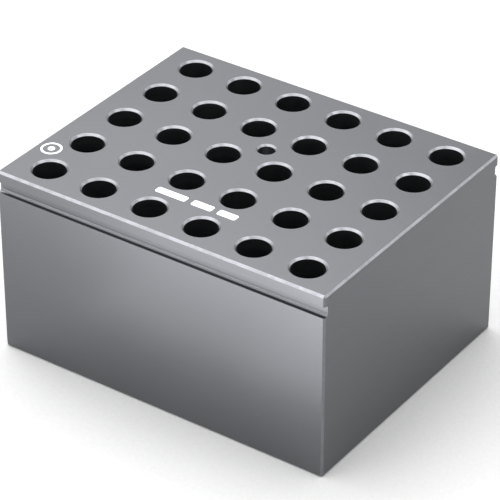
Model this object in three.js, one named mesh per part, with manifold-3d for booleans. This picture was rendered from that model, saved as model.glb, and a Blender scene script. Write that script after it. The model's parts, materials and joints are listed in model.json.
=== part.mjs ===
// Heating block insert for a dry bath: one machined aluminium block with
// thirty blind tube wells, a tapped lifting hole, a locating groove along each
// long side, and a few plain ink marks printed on its top face.
// Units are millimetres, +Z is up, and the origin is the bottom centre.

import * as THREE from 'three';
import { mergeVertices } from 'three/addons/utils/BufferGeometryUtils.js';
import Module from 'manifold-3d';

// ---- driving dimensions ---------------------------------------------------

const BLOCK_L = 95;          // along X
const BLOCK_W = 76;          // along Y
const BLOCK_H = 51;          // along Z
const EDGE_CHAMFER = 0.5;    // on all twelve outer edges

const WELL_COLS = 6;         // along X
const WELL_ROWS = 5;         // along Y
const WELL_PITCH = 15;
const WELL_D = 8.3;
const WELL_DEPTH = 40;       // straight part, below the top face
const WELL_CHAMFER = 0.5;
const DRILL_POINT = 118;     // included angle at the bottom of a drilled hole

const LIFT_X = 0;            // tapped hole for the lifting tool
const LIFT_Y = WELL_PITCH / 2;
const LIFT_D = 4.2;          // core of an M5 x 0.8 thread
const LIFT_DEPTH = 16;
const LIFT_CHAMFER = 0.45;

const LIP_H = 3;             // lip above the groove
const GROOVE_H = 3;
const GROOVE_DEPTH = 1.3;
const GROOVE_BREAK = 0.1;    // small bevels on the groove's two outer edges
const GROOVE_ROOT = 0.3;     // and in its two inner corners

const INK_T = 0.0625;        // printed ink film

// plain label bars: centre x, centre y, length
const BARS = [
  ['label_bar_long', -6.6, -22.4, 8.8],
  ['label_bar_middle', 2.45, -22.4, 5.9],
  ['label_bar_short', 9.65, -22.4, 5.3],
];
const BAR_H = 2.2;
const BAR_R = 0.5;

const CORNER_X = -43.1;      // corner index mark
const CORNER_Y = -22.2;
const CORNER_OUT_D = 5.4;
const CORNER_IN_D = 4.3;
const CORNER_DOT_D = 1.8;

const WELL_SIDES = 32;
const LIFT_SIDES = 24;

// ---- helpers ----------------------------------------------------------------

const wasm = await Module();
wasm.setup();

function solid(geometry, matrix) {
  const g = geometry.clone();
  if (matrix) g.applyMatrix4(matrix);
  g.deleteAttribute('normal');
  g.deleteAttribute('uv');
  const m = mergeVertices(g, 1e-5);
  const index = m.index.array;
  const position = m.attributes.position.array;
  const tri = [];
  for (let i = 0; i < index.length; i += 3) {
    const [a, b, c] = [index[i], index[i + 1], index[i + 2]];
    if (a !== b && b !== c && c !== a) tri.push(a, b, c);
  }
  return new wasm.Manifold(new wasm.Mesh({
    numProp: 3,
    vertProperties: new Float32Array(position),
    triVerts: new Uint32Array(tri),
  }));
}

function geometryOf(manifold) {
  const mesh = manifold.getMesh();
  const g = new THREE.BufferGeometry();
  const position = new Float32Array(mesh.numVert * 3);
  for (let i = 0; i < mesh.numVert; i++) {
    for (let k = 0; k < 3; k++) position[i * 3 + k] = mesh.vertProperties[i * mesh.numProp + k];
  }
  g.setAttribute('position', new THREE.BufferAttribute(position, 3));
  g.setIndex(new THREE.BufferAttribute(new Uint32Array(mesh.triVerts), 1));
  const flat = g.toNonIndexed();
  flat.computeVertexNormals();
  return flat;
}

// a rectangle with its four corners cut off at 45 degrees
function bevelledRectangle(width, height, cut) {
  const x = width / 2;
  const y = height / 2;
  return new THREE.Shape([
    new THREE.Vector2(-x + cut, -y), new THREE.Vector2(x - cut, -y),
    new THREE.Vector2(x, -y + cut), new THREE.Vector2(x, y - cut),
    new THREE.Vector2(x - cut, y), new THREE.Vector2(-x + cut, y),
    new THREE.Vector2(-x, y - cut), new THREE.Vector2(-x, -y + cut),
  ]);
}

// ---- block -------------------------------------------------------------------

// section across the block (y, z), with the groove and the outer bevels
function sectionSide(s) {
  const w = BLOCK_W / 2;
  const h = BLOCK_H;
  const c = EDGE_CHAMFER;
  const b = GROOVE_BREAK;
  const r = GROOVE_ROOT;
  const lip = h - LIP_H;
  const ledge = lip - GROOVE_H;
  const d = w - GROOVE_DEPTH;
  return [
    [w - c, 0], [w, c],
    [w, ledge - b], [w - b, ledge], [d + r, ledge], [d, ledge + r],
    [d, lip - r], [d + r, lip], [w - b, lip], [w, lip + b],
    [w, h - c], [w - c, h],
  ].map(([y, z]) => [s * y, z]);
}
const outline = [...sectionSide(1), ...sectionSide(-1).reverse()];
const section = new THREE.Shape(outline.map(([y, z]) => new THREE.Vector2(y, z)));

const along = new THREE.ExtrudeGeometry(section, { depth: BLOCK_L, bevelEnabled: false, steps: 1 });
// shape x -> world y, shape y -> world z, extrusion -> world x
const toX = new THREE.Matrix4().makeBasis(
  new THREE.Vector3(0, 1, 0), new THREE.Vector3(0, 0, 1), new THREE.Vector3(1, 0, 0),
).setPosition(-BLOCK_L / 2, 0, 0);

const plan = new THREE.ExtrudeGeometry(
  bevelledRectangle(BLOCK_L, BLOCK_W, EDGE_CHAMFER),
  { depth: BLOCK_H + 10, bevelEnabled: false, steps: 1 },
);
const toZ = new THREE.Matrix4().makeTranslation(0, 0, -5);

const front = new THREE.ExtrudeGeometry(
  bevelledRectangle(BLOCK_L, BLOCK_H, EDGE_CHAMFER),
  { depth: BLOCK_W + 10, bevelEnabled: false, steps: 1 },
);
// shape x -> world x, shape y -> world z, extrusion -> world -y
const toY = new THREE.Matrix4().makeBasis(
  new THREE.Vector3(1, 0, 0), new THREE.Vector3(0, 0, 1), new THREE.Vector3(0, -1, 0),
).setPosition(0, BLOCK_W / 2 + 5, BLOCK_H / 2);

let block = solid(along, toX).intersect(solid(plan, toZ)).intersect(solid(front, toY));

// a drilled, countersunk hole: its top face lies above z = 0, the hole below it
function drill(diameter, depth, chamfer, sides) {
  const r = diameter / 2;
  const tip = r / Math.tan(THREE.MathUtils.degToRad(DRILL_POINT / 2));
  const over = 0.5;
  return new THREE.LatheGeometry([
    new THREE.Vector2(0, -depth - tip),
    new THREE.Vector2(r, -depth),
    new THREE.Vector2(r, -chamfer),
    new THREE.Vector2(r + chamfer + over, over),
    new THREE.Vector2(0, over),
  ], sides);
}
// lathe axis Y -> world Z
const upright = new THREE.Matrix4().makeRotationX(Math.PI / 2);

const well = drill(WELL_D, WELL_DEPTH, WELL_CHAMFER, WELL_SIDES).applyMatrix4(upright);
for (let i = 0; i < WELL_COLS; i++) {
  for (let j = 0; j < WELL_ROWS; j++) {
    const x = (i - (WELL_COLS - 1) / 2) * WELL_PITCH;
    const y = (j - (WELL_ROWS - 1) / 2) * WELL_PITCH;
    block = block.subtract(solid(well, new THREE.Matrix4().makeTranslation(x, y, BLOCK_H)));
  }
}
const lift = drill(LIFT_D, LIFT_DEPTH, LIFT_CHAMFER, LIFT_SIDES).applyMatrix4(upright);
block = block.subtract(solid(lift, new THREE.Matrix4().makeTranslation(LIFT_X, LIFT_Y, BLOCK_H)));

// ---- printed marks -------------------------------------------------------------

function roundedBar(length, height, radius) {
  const x = length / 2;
  const y = height / 2;
  const s = new THREE.Shape();
  s.moveTo(-x + radius, -y);
  s.lineTo(x - radius, -y);
  s.absarc(x - radius, -y + radius, radius, -Math.PI / 2, 0, false);
  s.lineTo(x, y - radius);
  s.absarc(x - radius, y - radius, radius, 0, Math.PI / 2, false);
  s.lineTo(-x + radius, y);
  s.absarc(-x + radius, y - radius, radius, Math.PI / 2, Math.PI, false);
  s.lineTo(-x, -y + radius);
  s.absarc(-x + radius, -y + radius, radius, Math.PI, Math.PI * 1.5, false);
  return s;
}
const inkFilm = (shape, segments) => new THREE.ExtrudeGeometry(
  shape, { depth: INK_T, bevelEnabled: false, steps: 1, curveSegments: segments },
);

const ring = new THREE.LatheGeometry([
  new THREE.Vector2(CORNER_IN_D / 2, 0),
  new THREE.Vector2(CORNER_OUT_D / 2, 0),
  new THREE.Vector2(CORNER_OUT_D / 2, INK_T),
  new THREE.Vector2(CORNER_IN_D / 2, INK_T),
  new THREE.Vector2(CORNER_IN_D / 2, 0),
], 40).applyMatrix4(upright);
const dotShape = new THREE.Shape();
dotShape.absarc(0, 0, CORNER_DOT_D / 2, 0, Math.PI * 2, false);

// ---- scene graph ----------------------------------------------------------------

const anodised = { color: 0x8f9196, roughness: 0.42, metalness: 0.9 };
const ink = { color: 0xf3f3f1, roughness: 0.6, metalness: 0 };

const root = new THREE.Group();

function add(name, geometry, material, position) {
  const mesh = new THREE.Mesh(geometry, new THREE.MeshStandardMaterial(material));
  mesh.name = name;
  if (position) mesh.position.set(...position);
  root.add(mesh);
  return mesh;
}

add('tube_block', geometryOf(block), anodised);
for (const [name, x, y, length] of BARS) {
  add(name, geometryOf(solid(inkFilm(roundedBar(length, BAR_H, BAR_R), 5))), ink, [x, y, BLOCK_H]);
}
add('corner_mark_ring', geometryOf(solid(ring)), ink, [CORNER_X, CORNER_Y, BLOCK_H]);
add('corner_mark_dot', geometryOf(solid(inkFilm(dotShape, 24))), ink, [CORNER_X, CORNER_Y, BLOCK_H]);

export default root;
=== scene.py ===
import json
import math

import bpy
import numpy as np
from mathutils import Matrix, Vector
from mathutils.geometry import delaunay_2d_cdt


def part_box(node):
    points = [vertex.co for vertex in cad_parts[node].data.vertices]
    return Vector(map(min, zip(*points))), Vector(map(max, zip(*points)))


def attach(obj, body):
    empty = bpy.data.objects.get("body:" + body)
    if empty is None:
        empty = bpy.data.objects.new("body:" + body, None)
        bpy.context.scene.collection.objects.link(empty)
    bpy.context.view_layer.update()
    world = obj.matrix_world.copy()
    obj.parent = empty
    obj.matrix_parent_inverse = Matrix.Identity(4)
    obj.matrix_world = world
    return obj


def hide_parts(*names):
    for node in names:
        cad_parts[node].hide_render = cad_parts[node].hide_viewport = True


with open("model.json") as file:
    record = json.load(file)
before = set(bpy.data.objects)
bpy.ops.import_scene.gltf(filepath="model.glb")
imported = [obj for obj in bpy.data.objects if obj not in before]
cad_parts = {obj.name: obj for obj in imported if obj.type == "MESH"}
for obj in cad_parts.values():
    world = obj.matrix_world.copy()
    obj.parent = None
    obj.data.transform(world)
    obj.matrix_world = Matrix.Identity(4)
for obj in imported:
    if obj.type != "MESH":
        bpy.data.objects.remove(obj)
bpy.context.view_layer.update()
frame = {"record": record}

MM = 0.001

# ---------------------------------------------------------------------------
# sizes, in millimetres; the block's own come from the frame
# ---------------------------------------------------------------------------
lo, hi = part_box("tube_block")
L = (hi.x - lo.x) / MM
W = (hi.y - lo.y) / MM
H = hi.z / MM
X, Y = L / 2, W / 2

EDGE = 0.5          # outer bevel
SOFT = 0.12         # radius where a bevel meets a face
LIP = H - 3.0       # underside of the lip
LEDGE = LIP - 3.0   # floor of the groove
GROOVE = 1.3        # how deep the groove is cut
ROOT = 0.8          # radius where its wall runs out into its floor
END_BREAK = 0.12    # deburred ends of the groove

WELL_R = 4.15
WELL_BEVEL = 0.5
WELL_DEPTH = 40.0
DRILL_HALF = math.radians(59)

LIFT_CORE = 2.1
LIFT_MAJOR = 2.5
LIFT_PITCH = 0.8
LIFT_BEVEL = 0.45
LIFT_THREADED = 12.0
LIFT_PLAIN = 2.4    # the thread starts this far below the top
LIFT_DEPTH = 16.0

WELLS = []
for o in frame["record"]["physics"]["openings"]:
    a, b = o["box_m"]
    WELLS.append(((a[0] + b[0]) / 2 / MM, (a[1] + b[1]) / 2 / MM))
LIFT = (0.0, 7.5)


# ---------------------------------------------------------------------------
# mesh building
# ---------------------------------------------------------------------------
class Build:
    """Vertices with their own normals, and faces, in millimetres."""

    def __init__(self):
        self.co, self.no, self.faces, self.slot, self.flag, self.flat = [], [], [], [], [], []

    def vert(self, p, n, flag=0.0):
        self.co.append(tuple(float(v) for v in p))
        n = Vector(n)
        self.no.append(tuple(n.normalized()))
        self.flag.append(float(flag))
        return len(self.co) - 1

    def face(self, idx, slot=0, flat=None):
        """flat is the face's own normal, for one that meets its neighbours at a sharp edge."""
        clean = [v for k, v in enumerate(idx) if v != idx[k - 1]]
        if len(set(clean)) >= 3:
            self.faces.append(tuple(clean))
            self.slot.append(slot)
            self.flat.append(flat)

    def strip(self, a, b, closed=True, slot=0, skip=()):
        """Quads from ring a to ring b, wound a -> b."""
        n = len(a)
        for k in range(n if closed else n - 1):
            if k in skip:
                continue
            m = (k + 1) % n
            self.face((a[k], a[m], b[m], b[k]), slot)

    def object(self, name, materials):
        me = bpy.data.meshes.new(name)
        me.from_pydata([tuple(c * MM for c in p) for p in self.co], [], self.faces)
        me.polygons.foreach_set("material_index", self.slot)
        me.polygons.foreach_set("use_smooth", [True] * len(self.faces))
        attr = me.attributes.new("edge", "FLOAT", "POINT")
        attr.data.foreach_set("value", self.flag)
        me.update()
        normals = []
        for f, flat in zip(self.faces, self.flat):
            normals += [flat or self.no[i] for i in f]
        me.normals_split_custom_set(normals)
        ob = bpy.data.objects.new(name, me)
        bpy.context.scene.collection.objects.link(ob)
        for m in materials:
            me.materials.append(m)
        return ob


def rounded(points, radii, steps):
    """A closed polygon, counter-clockwise, with each corner turned into an arc of the radius given. Returns points, outward normals, and True for each point that an arc starts or goes on from."""
    out, nor, arc = [], [], []
    n = len(points)
    for k in range(n):
        p = np.array(points[k], float)
        a = np.array(points[k - 1], float)
        b = np.array(points[(k + 1) % n], float)
        u = (p - a) / np.linalg.norm(p - a)
        v = (b - p) / np.linalg.norm(b - p)
        turn = math.atan2(u[0] * v[1] - u[1] * v[0], float(u @ v))
        r = radii[k]
        t = r * math.tan(abs(turn) / 2)
        nu = np.array([u[1], -u[0]])
        s = 1 if turn > 0 else -1
        centre = p - u * t - s * nu * r
        for q in range(steps + 1):
            g = turn * q / steps
            c, d = math.cos(g), math.sin(g)
            m = np.array([nu[0] * c - nu[1] * d, nu[0] * d + nu[1] * c])
            out.append(centre + s * r * m)
            nor.append(m)
            arc.append(q < steps)
    return out, nor, arc


def bevel_profile(size, soft, steps=3):
    """A 45 degree bevel with softened ends, from a wall into a face: (along, inset, normal along, normal out) where along runs from -size to 0."""
    t = soft * math.tan(math.radians(22.5))
    rows = []
    for k in range(steps + 1):
        a = math.radians(45) * k / steps
        rows.append((-size - t + soft * math.sin(a), soft - soft * math.cos(a), math.sin(a), math.cos(a)))
    for k in range(steps + 1):
        a = math.radians(45) * (1 + k / steps)
        rows.append((-soft + soft * math.sin(a), size + t - soft * math.cos(a), math.sin(a), math.cos(a)))
    return rows


def section(inset, groove_inset):
    """The block's outline across its length (y, z), counter-clockwise."""
    leg = max(EDGE - 2 * inset, 0.04)
    w, h, z0 = Y - inset, H - inset, inset
    g = groove_inset
    half = [
        ((w - leg, z0), SOFT), ((w, z0 + leg), SOFT),
        ((w, LEDGE - g), 0.05), ((Y - GROOVE - g, LEDGE - g), ROOT),
        ((Y - GROOVE - g, LIP + g), 0.3), ((w, LIP + g), 0.08),
        ((w, h - leg), SOFT), ((w - leg, h), SOFT),
    ]
    pts = [p for p, _ in half] + [(-p[0], p[1]) for p, _ in reversed(half)]
    rad = [r for _, r in half] + [r for _, r in reversed(half)]
    if leg < EDGE * 0.9:
        # small bevels leave no room for the full radius
        for k in (0, 1, 6, 7, 8, 9, 14, 15):
            rad[k] = min(SOFT, leg * 0.8)
    return rounded(pts, rad, 3)


def block_mesh():
    b = Build()
    prof = bevel_profile(EDGE, SOFT)
    xs = [(X + a, i, na, no) for a, i, na, no in prof]
    # one more station where the groove's own small end bevel starts
    extra = X - END_BREAK
    k = next(i for i, s in enumerate(xs) if s[0] > extra)
    xs.insert(k, (extra, EDGE - END_BREAK, math.sqrt(0.5), math.sqrt(0.5)))
    stations = [(-x, i, -na, no) for x, i, na, no in reversed(xs)] + xs
    rings = []
    for x, i, na, no in stations:
        g = min(max(abs(x) - extra, 0.0), END_BREAK)
        pts, nor, arc = section(i, g)
        ring = []
        last = abs(x) > X - 1e-6
        for q, ((y, z), (ny, nz)) in enumerate(zip(pts, nor)):
            in_groove = abs(y) < Y - i - 0.02 and LEDGE - 0.5 < z < LIP + 0.5
            if last:
                n = (math.copysign(1, x), 0, 0)
            elif in_groove:
                tilt = 0.0 if g <= 0 else 0.7
                n = (math.copysign(tilt, x), ny * (1 - tilt * 0.3), nz * (1 - tilt * 0.3))
            else:
                n = (na, ny * no, nz * no)
            # rubbed edges and painted highlight: the top's bevels lightened all the way, as light from above would, the
            # others less, the groove's not at all
            edge = 0.0
            if not last and not in_groove:
                if abs(na) > 0.3:
                    edge = 1.0 if nz > 0.25 else 0.3
                elif q // 4 in (6, 7, 8, 9) and abs(ny) > 0.25 and nz > 0.25:
                    edge = 1.0
                elif q // 4 in (0, 1, 14, 15) and abs(ny) > 0.25 and nz < -0.25:
                    edge = 0.3
            ring.append(b.vert((x, y, z), n, edge))
        rings.append(ring)
    # the outline's points 4*k .. 4*k+3 are corner k's arc; the top face is the side from corner 7 to corner 8
    top_side = 4 * 7 + 3
    mid = len(stations) // 2 - 1
    for s in range(len(rings) - 1):
        b.strip(rings[s], rings[s + 1], skip=(top_side,) if s == mid else ())
    b.face(list(reversed(rings[0])))
    b.face(list(rings[-1]))
    corners = [rings[mid][top_side], rings[mid][top_side + 1], rings[mid + 1][top_side + 1], rings[mid + 1][top_side]]

    # ---- wells ------------------------------------------------------------
    def lathe(cx, cy, rows, sides, slot_of=None, phase=0.0):
        """rows: (r, z, nr, nz, edge). Returns the first ring. Normals point into the hole."""
        prev = first = None
        for q, (r, z, nr, nz, edge) in enumerate(rows):
            if r < 1e-9:
                tip = b.vert((cx, cy, z), (0, 0, 1))
                for k in range(sides):
                    b.face((prev[k], prev[(k + 1) % sides], tip), slot_of(q) if slot_of else 0)
                break
            ring = []
            for k in range(sides):
                a = 2 * math.pi * k / sides + phase
                c, s = math.cos(a), math.sin(a)
                ring.append(b.vert((cx + r * c, cy + r * s, z), (nr * c, nr * s, nz), edge))
            if prev:
                b.strip(prev, ring, slot=slot_of(q) if slot_of else 0)
            else:
                first = ring
            prev = ring
        return first

    def hole_rows(r, bevel, depth, soft):
        rows = []
        for a, i, na, no in reversed(bevel_profile(bevel, soft)):
            # along the axis -> z, inset -> radius grows towards the face
            # the bevel's middle rows are marked for the lightened colour: rubbed wear and a painted highlight on the
            # hole's rim
            rows.append((r + i, H + a, -no, na, 1.0 if 0.2 < na < 0.98 else 0.0))
        tip = r / math.tan(DRILL_HALF)
        rows.append((r, H - depth * 0.5, -1, 0, 0))
        rows.append((r, H - depth + 0.25, -1, 0, 0))
        for k in range(1, 4):
            # a drill leaves a small radius between the wall and the point
            a = math.radians(59) * k / 3
            rows.append((r - 0.25 + 0.25 * math.cos(a), H - depth + 0.25 - 0.25 * math.sin(a), -math.cos(a), math.sin(a), 0))
        rr, zz = rows[-1][0], rows[-1][1]
        rows.append((rr * 0.4, zz - rr * 0.6 / math.tan(DRILL_HALF), -math.cos(DRILL_HALF), math.sin(DRILL_HALF), 0))
        rows.append((0, zz - rr / math.tan(DRILL_HALF), 0, 1, 0))
        return rows

    sides = 64
    rows = hole_rows(WELL_R, WELL_BEVEL, WELL_DEPTH, 0.08)
    bevel_rows = 8
    rims = [lathe(cx, cy, rows, sides, lambda q: 1 if q >= bevel_rows else 0) for cx, cy in WELLS]

    # ---- lifting hole, with its thread ---------------------------------------
    ls = 48
    step = LIFT_PITCH / 12
    count = int((LIFT_THREADED - LIFT_PLAIN) / step)
    zs = [H - LIFT_PLAIN - k * step for k in range(count + 1)]

    def lift_r(a, z):
        t = (H - z) / LIFT_PITCH + a / (2 * math.pi)
        tri = abs(2 * (t - math.floor(t)) - 1)
        v = min(max((tri - 0.12) / 0.76, 0.0), 1.0)
        fade = min(max((z - (H - LIFT_THREADED)) / LIFT_PITCH, 0.0), 1.0)
        fade *= min(max((H - z - LIFT_PLAIN) / LIFT_PITCH, 0.0), 1.0)
        return LIFT_CORE + (LIFT_MAJOR - LIFT_CORE) * v * fade

    # the bevel's middle rows are marked for the lightened colour: rubbed wear and a painted highlight on the hole's rim
    lift_rows = [
        (LIFT_CORE + i, H + a, -no, na, 1.0 if 0.2 < na < 0.98 else 0.0)
        for a, i, na, no in reversed(bevel_profile(LIFT_BEVEL, 0.08))
    ]
    prev = lift_rim = None
    for r, z, nr, nz, edge in lift_rows:
        ring = []
        for k in range(ls):
            a = 2 * math.pi * k / ls
            c, s = math.cos(a), math.sin(a)
            ring.append(b.vert((LIFT[0] + r * c, LIFT[1] + r * s, z), (nr * c, nr * s, nz), edge))
        if prev:
            b.strip(prev, ring)
        else:
            lift_rim = ring
        prev = ring
    for z in zs:
        ring = []
        for k in range(ls):
            a = 2 * math.pi * k / ls
            r = lift_r(a, z)
            e = 0.03
            dz = (lift_r(a, z + e) - lift_r(a, z - e)) / (2 * e)
            da = (lift_r(a + e, z) - lift_r(a - e, z)) / (2 * e) / r
            c, s = math.cos(a), math.sin(a)
            # surface r(a, z): the normal that points to the axis
            ring.append(b.vert((LIFT[0] + r * c, LIFT[1] + r * s, z), (-c - da * s, -s + da * c, dz)))
        b.strip(prev, ring, slot=1)
        prev = ring
    rr, z_end = LIFT_CORE, H - LIFT_DEPTH
    low = []
    for r, z, nr, nz in ((rr, zs[-1] - 0.3, -1, 0), (rr, z_end, -1, 0.05), (rr * 0.4, z_end - rr * 0.6 / math.tan(DRILL_HALF), -0.5, 0.86)):
        ring = []
        for k in range(ls):
            a = 2 * math.pi * k / ls
            ring.append(b.vert((LIFT[0] + r * math.cos(a), LIFT[1] + r * math.sin(a), z), (nr * math.cos(a), nr * math.sin(a), nz)))
        b.strip(prev, ring, slot=1)
        prev = ring
    tip = b.vert((LIFT[0], LIFT[1], z_end - rr / math.tan(DRILL_HALF)), (0, 0, 1))
    for k in range(ls):
        b.face((prev[k], prev[(k + 1) % ls], tip), 1)

    # ---- top face: the rectangle between the bevels, less its holes ---------------
    ids, edges = list(corners), []
    edges += [(0, 1), (1, 2), (2, 3), (3, 0)]
    for rim in rims + [lift_rim]:
        base = len(ids)
        ids += rim
        edges += [(base + k, base + (k + 1) % len(rim)) for k in range(len(rim))]
    flat = [Vector((b.co[i][0], b.co[i][1])) for i in ids]
    cv, ce, cf, ov, oe, of_ = delaunay_2d_cdt(flat, edges, [], 0, 1e-6)
    back = [ids[o[0]] for o in ov]
    holes = [(cx, cy, rows[0][0]) for cx, cy in WELLS] + [(LIFT[0], LIFT[1], lift_rows[0][0])]
    for f in cf:
        m = sum((cv[i] for i in f), Vector((0, 0))) / len(f)
        if any((m.x - hx) ** 2 + (m.y - hy) ** 2 < (hr * 0.999) ** 2 for hx, hy, hr in holes):
            continue
        area = sum(cv[f[k - 1]].x * cv[f[k]].y - cv[f[k]].x * cv[f[k - 1]].y for k in range(len(f)))
        tri = [back[i] for i in f]
        b.face(tri if area > 0 else tri[::-1])
    return b


def film_mesh(loops, thickness, z):
    """A thin printed film over the outline loops[0], with the holes loops[1:]. Its top edge is rounded and its outline wavers a little, as ink does."""
    b = Build()
    rims = []
    for q, loop in enumerate(loops):
        pts = np.array(loop, float)
        n = len(pts)
        nxt, prv = np.roll(pts, -1, 0), np.roll(pts, 1, 0)
        t = nxt - prv
        t /= np.linalg.norm(t, axis=1)[:, None]
        out = np.stack([t[:, 1], -t[:, 0]], 1)
        s = np.arange(n)
        wav = 0.010 * np.sin(s * 0.9 + q) + 0.008 * np.sin(s * 2.3 + 1.7 * q) + 0.006 * np.sin(s * 3.7)
        wav *= 0.6
        rings = []
        for inset, zz, no, nz in ((0, 0, 1, 0), (0, thickness * 0.45, 1, 0.1), (thickness * 0.35, thickness * 0.85, 0.75, 0.66), (thickness * 1.1, thickness, 0.1, 1)):
            p = pts + out * (wav[:, None] - inset)
            rings.append([b.vert((p[k, 0], p[k, 1], z + zz), (out[k, 0] * no, out[k, 1] * no, nz)) for k in range(n)])
        for a, c in zip(rings, rings[1:]):
            b.strip(a, c)
        rims.append((rings[0], rings[-1]))
    for level, up in ((1, True), (0, False)):
        ids, edges = [], []
        for r in rims:
            base = len(ids)
            ids += r[level]
            m = len(r[level])
            edges += [(base + k, base + (k + 1) % m) for k in range(m)]
        flat = [Vector((b.co[i][0], b.co[i][1])) for i in ids]
        cv, ce, cf, ov, oe, of_ = delaunay_2d_cdt(flat, edges, [], 0, 1e-6)
        back = [ids[o[0]] for o in ov]
        polys = [[Vector(b.co[i][:2]) for i in r[level]] for r in rims]
        for f in cf:
            m = sum((cv[i] for i in f), Vector((0, 0))) / len(f)
            if not inside(m, polys[0]) or any(inside(m, h) for h in polys[1:]):
                continue
            area = sum(cv[f[k - 1]].x * cv[f[k]].y - cv[f[k]].x * cv[f[k - 1]].y for k in range(len(f)))
            tri = [back[i] for i in f]
            if area < 0:
                tri = tri[::-1]
            b.face(tri if up else tri[::-1], flat=(0, 0, 1) if up else (0, 0, -1))
    return b


def inside(p, poly):
    hit = False
    for k in range(len(poly)):
        a, c = poly[k - 1], poly[k]
        if (a.y > p.y) != (c.y > p.y) and p.x < (c.x - a.x) * (p.y - a.y) / (c.y - a.y) + a.x:
            hit = not hit
    return hit


def bar_outline(x0, x1, y0, y1, r, steps=8, spacing=0.35):
    pts, _, _ = rounded([(x0, y0), (x1, y0), (x1, y1), (x0, y1)], [r] * 4, steps)
    out = []
    for k in range(len(pts)):
        a, c = np.array(pts[k]), np.array(pts[(k + 1) % len(pts)])
        n = max(1, int(np.linalg.norm(c - a) / spacing))
        out += [tuple(a + (c - a) * q / n) for q in range(n)]
    return out


def circle(cx, cy, r, n, clockwise=False):
    s = -1 if clockwise else 1
    return [(cx + r * math.cos(s * 2 * math.pi * k / n), cy + r * math.sin(s * 2 * math.pi * k / n)) for k in range(n)]


# ---------------------------------------------------------------------------
# materials
# ---------------------------------------------------------------------------
class Nodes:
    def __init__(self, name):
        self.mat = bpy.data.materials.new(name)
        self.mat.use_nodes = True
        self.t = self.mat.node_tree
        self.t.nodes.clear()
        self.out = self.t.nodes.new("ShaderNodeOutputMaterial")
        self.bsdf = self.t.nodes.new("ShaderNodeBsdfPrincipled")
        self.link(self.bsdf.outputs["BSDF"], self.out.inputs["Surface"])
        tc = self.t.nodes.new("ShaderNodeTexCoord")
        self.obj = tc.outputs["Object"]

    def link(self, a, b):
        self.t.links.new(a, b)

    def node(self, kind, **values):
        n = self.t.nodes.new(kind)
        for k, v in values.items():
            setattr(n, k, v)
        return n

    def feed(self, socket, value):
        if isinstance(value, bpy.types.NodeSocket):
            self.link(value, socket)
        else:
            socket.default_value = value

    def math(self, op, a, b=0.0, c=0.0, clamp=False):
        n = self.node("ShaderNodeMath", operation=op, use_clamp=clamp)
        for s, v in zip(n.inputs, (a, b, c)):
            self.feed(s, v)
        return n.outputs[0]

    def noise(self, scale, detail=2.0, rough=0.5, coord=None, distortion=0.0):
        n = self.node("ShaderNodeTexNoise")
        self.link(coord or self.obj, n.inputs["Vector"])
        n.inputs["Scale"].default_value = scale
        n.inputs["Detail"].default_value = detail
        n.inputs["Roughness"].default_value = rough
        n.inputs["Distortion"].default_value = distortion
        return n.outputs[0]

    def stretch(self, sx, sy, sz, coord=None):
        n = self.node("ShaderNodeMapping")
        self.link(coord or self.obj, n.inputs["Vector"])
        n.inputs["Scale"].default_value = (sx, sy, sz)
        return n.outputs[0]

    def remap(self, v, a, b, c, d, smooth=True):
        n = self.node("ShaderNodeMapRange")
        if smooth:
            n.interpolation_type = "SMOOTHSTEP"
        for s, x in zip(n.inputs, (v, a, b, c, d)):
            self.feed(s, x)
        return n.outputs[0]

    def mix(self, fac, a, b):
        n = self.node("ShaderNodeMix", data_type="RGBA")
        self.feed(n.inputs[0], fac)
        for s, v in ((n.inputs[6], a), (n.inputs[7], b)):
            if isinstance(v, tuple):
                s.default_value = (*v, 1.0)
            else:
                self.link(v, s)
        return n.outputs[2]

    def bump(self, height, distance, strength=1.0, under=None):
        n = self.node("ShaderNodeBump")
        n.inputs["Strength"].default_value = strength
        n.inputs["Distance"].default_value = distance
        self.link(height, n.inputs["Height"])
        if under:
            self.link(under, n.inputs["Normal"])
        return n.outputs[0]


def anodised(name, colour, rough):
    """Satin anodised aluminium: a fine etched grain, faint clouds in the dye, faint cutter marks, and bevels made
    lighter, partly as rubbed wear and partly as a painted highlight.
    """
    m = Nodes(name)
    grain = m.noise(9000, 2.0, 0.6)
    fine = m.noise(2600, 3.0, 0.55)
    cloud = m.noise(28, 3.0, 0.55)
    streak = m.noise(1.0, 2.0, 0.5, m.stretch(60, 60, 900))
    edge = m.node("ShaderNodeAttribute", attribute_name="edge").outputs["Fac"]
    rub_and_highlight_noise = m.noise(420, 3.0, 0.6)
    wear_and_highlight = m.math("MULTIPLY", edge, m.remap(rub_and_highlight_noise, 0.36, 0.62, 0.7, 1.0), clamp=True)
    dark = tuple(c * 0.975 for c in colour)
    light = tuple(c * 1.025 for c in colour)
    base = m.mix(m.remap(cloud, 0.3, 0.7, 0.0, 1.0), dark, light)
    speck = m.mix(m.remap(fine, 0.35, 0.65, 0.0, 1.0), tuple(c * 0.97 for c in colour), tuple(c * 1.03 for c in colour))
    base = m.mix(0.45, base, speck)
    # painted highlight and wear: bevels lighten towards 2.2 times the metal colour where the edge attribute is set,
    # fullest on the upward-facing bevels
    worn_and_lit = tuple(min(1, c * 2.2) for c in colour)
    m.link(m.mix(wear_and_highlight, base, worn_and_lit), m.bsdf.inputs["Base Color"])
    m.bsdf.inputs["Metallic"].default_value = 1.0
    r = m.math("ADD", m.remap(cloud, 0.25, 0.75, rough - 0.012, rough + 0.012), m.remap(fine, 0.3, 0.7, -0.015, 0.015))
    r = m.math("ADD", r, m.remap(streak, 0.35, 0.65, -0.008, 0.008))
    r = m.math("SUBTRACT", r, m.math("MULTIPLY", wear_and_highlight, 0.05))
    m.link(r, m.bsdf.inputs["Roughness"])
    n1 = m.bump(grain, 0.000003, 0.3)
    n2 = m.bump(fine, 0.000004, 0.25, n1)
    m.link(n2, m.bsdf.inputs["Normal"])
    return m.mat


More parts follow.
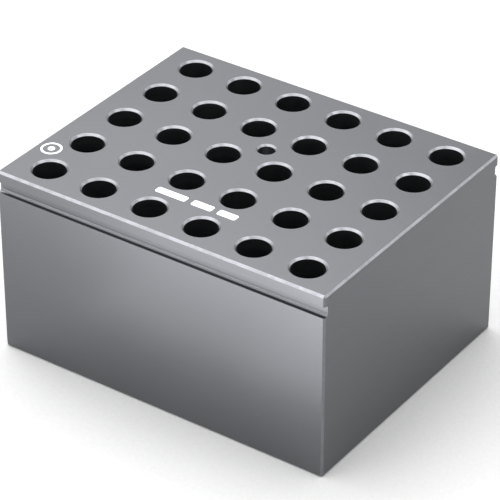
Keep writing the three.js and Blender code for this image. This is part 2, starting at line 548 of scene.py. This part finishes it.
def bored(name, colour, rough):
    """The drilled and reamed wall of a hole: the same finish, with faint rings from the tool."""
    m = Nodes(name)
    sep = m.node("ShaderNodeSeparateXYZ")
    m.link(m.obj, sep.inputs[0])
    rings = m.noise(1.0, 3.0, 0.6, m.stretch(30, 30, 4200))
    grain = m.noise(7000, 2.0, 0.6)
    cloud = m.noise(120, 3.0, 0.55)
    base = m.mix(m.remap(rings, 0.35, 0.65, 0.0, 1.0), tuple(c * 0.9 for c in colour), tuple(c * 1.06 for c in colour))
    base = m.mix(m.remap(cloud, 0.3, 0.7, 0.0, 0.3), base, tuple(c * 0.85 for c in colour))
    m.link(base, m.bsdf.inputs["Base Color"])
    m.bsdf.inputs["Metallic"].default_value = 1.0
    m.link(m.math("ADD", m.remap(rings, 0.3, 0.7, rough - 0.04, rough + 0.05), m.remap(cloud, 0.3, 0.7, -0.02, 0.02)), m.bsdf.inputs["Roughness"])
    n1 = m.bump(rings, 0.00002, 0.5)
    n2 = m.bump(grain, 0.000005, 0.4, n1)
    m.link(n2, m.bsdf.inputs["Normal"])
    return m.mat


def ink(name):
    """Matt white printing ink with a dry mottle and a few thin spots."""
    m = Nodes(name)
    mottle = m.noise(5200, 3.0, 0.6)
    soft = m.noise(900, 2.0, 0.5)
    base = m.mix(m.remap(mottle, 0.3, 0.7, 0.0, 1.0), (0.84, 0.84, 0.83), (0.93, 0.93, 0.92))
    base = m.mix(m.remap(soft, 0.62, 0.78, 0.0, 0.25), base, (0.66, 0.67, 0.68))
    m.link(base, m.bsdf.inputs["Base Color"])
    m.bsdf.inputs["Metallic"].default_value = 0.0
    m.link(m.remap(mottle, 0.3, 0.7, 0.5, 0.66), m.bsdf.inputs["Roughness"])
    m.link(m.bump(mottle, 0.000008, 0.5), m.bsdf.inputs["Normal"])
    return m.mat


def paper(name):
    m = Nodes(name)
    tooth = m.noise(900, 3.0, 0.6)
    base = m.mix(m.remap(tooth, 0.3, 0.7, 0.0, 1.0), (0.49, 0.49, 0.49), (0.51, 0.51, 0.51))
    m.link(base, m.bsdf.inputs["Base Color"])
    m.bsdf.inputs["Roughness"].default_value = 0.9
    m.bsdf.inputs["Specular IOR Level"].default_value = 0.1
    return m.mat


METAL = (0.130, 0.133, 0.1415)
anodised_mat = anodised("satin_anodised_aluminium", METAL, 0.36)
# the hole walls take the metal's colour lifted 1.3 times: painted light that brightens the shaded insides of the holes
bored_mat = bored("bored_wall", tuple(c * 1.3 for c in METAL), 0.34)
ink_mat = ink("white_print")

# ---------------------------------------------------------------------------
# pieces
# ---------------------------------------------------------------------------
block = block_mesh().object("milled_block", [anodised_mat, bored_mat])
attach(block, "root")
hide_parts("tube_block")

FILM = 0.05
for name in ("label_bar_long", "label_bar_middle", "label_bar_short"):
    a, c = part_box(name)
    loop = bar_outline(a.x / MM, c.x / MM, a.y / MM, c.y / MM, 0.5)
    ob = film_mesh([loop], FILM, H).object("printed_" + name, [ink_mat])
    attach(ob, "root")
    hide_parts(name)

a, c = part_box("corner_mark_ring")
cx, cy, r_out = (a.x + c.x) / 2 / MM, (a.y + c.y) / 2 / MM, (c.x - a.x) / 2 / MM
ring = film_mesh([circle(cx, cy, r_out, 72), circle(cx, cy, r_out - 0.55, 72, True)], FILM, H).object("printed_corner_ring", [ink_mat])
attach(ring, "root")
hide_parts("corner_mark_ring")
a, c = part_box("corner_mark_dot")
dot = film_mesh([circle((a.x + c.x) / 2 / MM, (a.y + c.y) / 2 / MM, (c.x - a.x) / 2 / MM, 48)], FILM, H).object("printed_corner_dot", [ink_mat])
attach(dot, "root")
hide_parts("corner_mark_dot")

# ---------------------------------------------------------------------------
# floor, light and camera
# ---------------------------------------------------------------------------
floor_me = bpy.data.meshes.new("floor")
S = 6.0
floor_me.from_pydata([(-S, -S, 0), (S, -S, 0), (S, S, 0), (-S, S, 0)], [], [(0, 1, 2, 3)])
floor = bpy.data.objects.new("floor", floor_me)
bpy.context.scene.collection.objects.link(floor)
floor_me.materials.append(paper("pale_floor"))

world = bpy.data.worlds.new("studio")
world.use_nodes = True
world.node_tree.nodes["Background"].inputs[0].default_value = (1.0, 1.0, 1.0, 1.0)
world.node_tree.nodes["Background"].inputs[1].default_value = 0.8
bpy.context.scene.world = world


def softbox(name, at, aim, size, power, colour=(1, 1, 1)):
    d = bpy.data.lights.new(name, "AREA")
    d.shape = "RECTANGLE"
    d.size, d.size_y = size
    d.energy = power
    d.color = colour
    ob = bpy.data.objects.new(name, d)
    bpy.context.scene.collection.objects.link(ob)
    ob.location = at
    ob.visible_camera = False
    ob.rotation_mode = "QUATERNION"
    ob.rotation_quaternion = (Vector(aim) - Vector(at)).to_track_quat("-Z", "Y")
    return ob


def on_sky(azimuth, elevation, distance):
    """azimuth counted from +X towards +Y."""
    a, e = math.radians(azimuth), math.radians(elevation)
    return (distance * math.cos(e) * math.cos(a), distance * math.cos(e) * math.sin(a), distance * math.sin(e))


# azimuth, elevation, distance, width, height, radiance
for name, az, el, dist, w, h, glow in (
    ("strip_low_front_left", 250, 6, 0.6, 0.6, 0.1, 7.6),
    ("softbox_front_left", 225, 40, 1.1, 0.8, 0.6, 1.8),
    ("softbox_left", 180, 35, 1.1, 0.8, 0.6, 1.4),
    ("softbox_high_left", 200, 65, 1.1, 0.8, 0.7, 0.85),
    ("softbox_back_left", 150, 52, 1.1, 1.0, 0.8, 2.0),
    ("softbox_overhead_back", 125, 75, 1.1, 0.9, 0.9, 3.6),
    ("softbox_overhead_front", 270, 60, 1.1, 0.8, 0.7, 1.4),
    ("softbox_overhead_near", 300, 72, 0.45, 0.3, 0.3, 0.65),
    ("softbox_right", 0, 45, 1.2, 0.8, 0.6, 2.4),
    ("strip_back_right", 51, 29, 1.2, 0.9, 0.35, 1.3),
):
    softbox(name, on_sky(az, el, dist), (0, 0, 0.025), (w, h), glow * math.pi * w * h)
# bright cards lying on the paper in front of the block, seen only in its front
for name, x, y, w, h, glow in (
    ("card_left", -0.09, -0.115, 0.06, 0.05, 1.4),
    ("card_middle", -0.03, -0.115, 0.06, 0.05, 3.4),
    ("card_right", 0.03, -0.115, 0.06, 0.05, 4.6),
    ("card_far", 0.03, -0.17, 0.10, 0.05, 1.15),
    ("card_near_middle", -0.015, -0.076, 0.05, 0.03, 0.9),
    ("card_near_right", 0.035, -0.076, 0.05, 0.03, 1.3),
):
    softbox(name, (x, y, 0.004), (x, y, 1), (w, h), glow * math.pi * w * h)

cam_data = bpy.data.cameras.new("camera")
cam_data.sensor_width = 36.0
cam_data.lens = 202.686
cam_data.clip_start = 0.01
cam_data.clip_end = 50.0
cam = bpy.data.objects.new("camera", cam_data)
bpy.context.scene.collection.objects.link(cam)
rot = Matrix(((0.8191694, -0.3123167, 0.481061), (0.5735516, 0.4460172, -0.6871006), (0.0000315, 0.8387651, 0.5444934)))
cam.matrix_world = Matrix.Translation((0.3338538, -0.4763509, 0.4034029)) @ rot.to_4x4()
bpy.context.scene.camera = cam
bpy.context.scene.view_settings.view_transform = "Standard"
bpy.context.scene.view_settings.look = "None"
